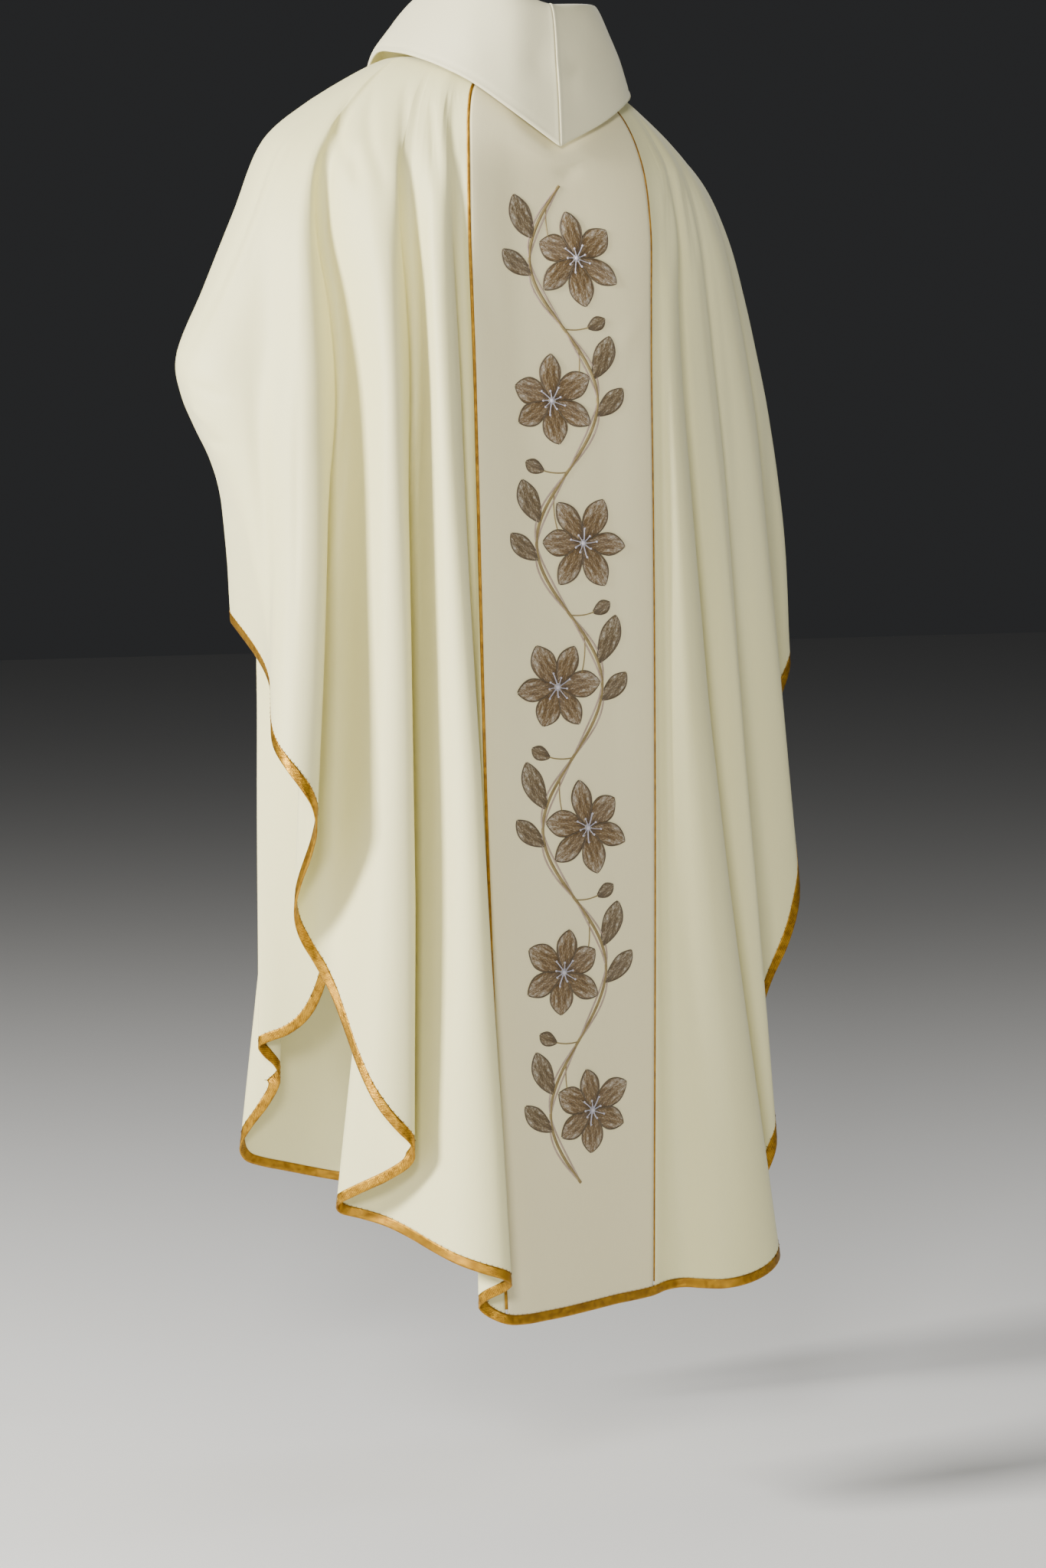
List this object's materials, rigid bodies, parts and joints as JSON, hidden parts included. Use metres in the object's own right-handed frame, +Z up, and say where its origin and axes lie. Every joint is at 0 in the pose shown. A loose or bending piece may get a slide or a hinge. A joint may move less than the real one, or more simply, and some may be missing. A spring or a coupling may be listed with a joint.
{
  "type": "chasuble",
  "caption": "Worn ivory chasuble with an embroidered back band between gold pipings, a wide turned-down collar and a gold bound hem, draped in deep folds.",
  "frame": {"origin": "middle of the neck opening at shoulder level, where the wearer holds the garment up", "axes": "+Z up, the front faces -Y, +X is the wearer's left"},
  "size_m": [0.7184, 0.5527, 1.3662],
  "materials": {
    "ivory_cloth": "soft satin weave",
    "band_cloth": "matt weave with raised embroidery",
    "gold_trim": "metallic thread weave"
  },
  "bodies": {
    "root": {"back_left": "ivory_cloth", "back_right": "ivory_cloth", "front": "ivory_cloth", "collar_left": "ivory_cloth", "collar_right": "ivory_cloth", "back_band": "band_cloth", "binding_back": "gold_trim", "binding_front": "gold_trim", "piping_left": "gold_trim", "piping_right": "gold_trim"}
  },
  "joints": []
}
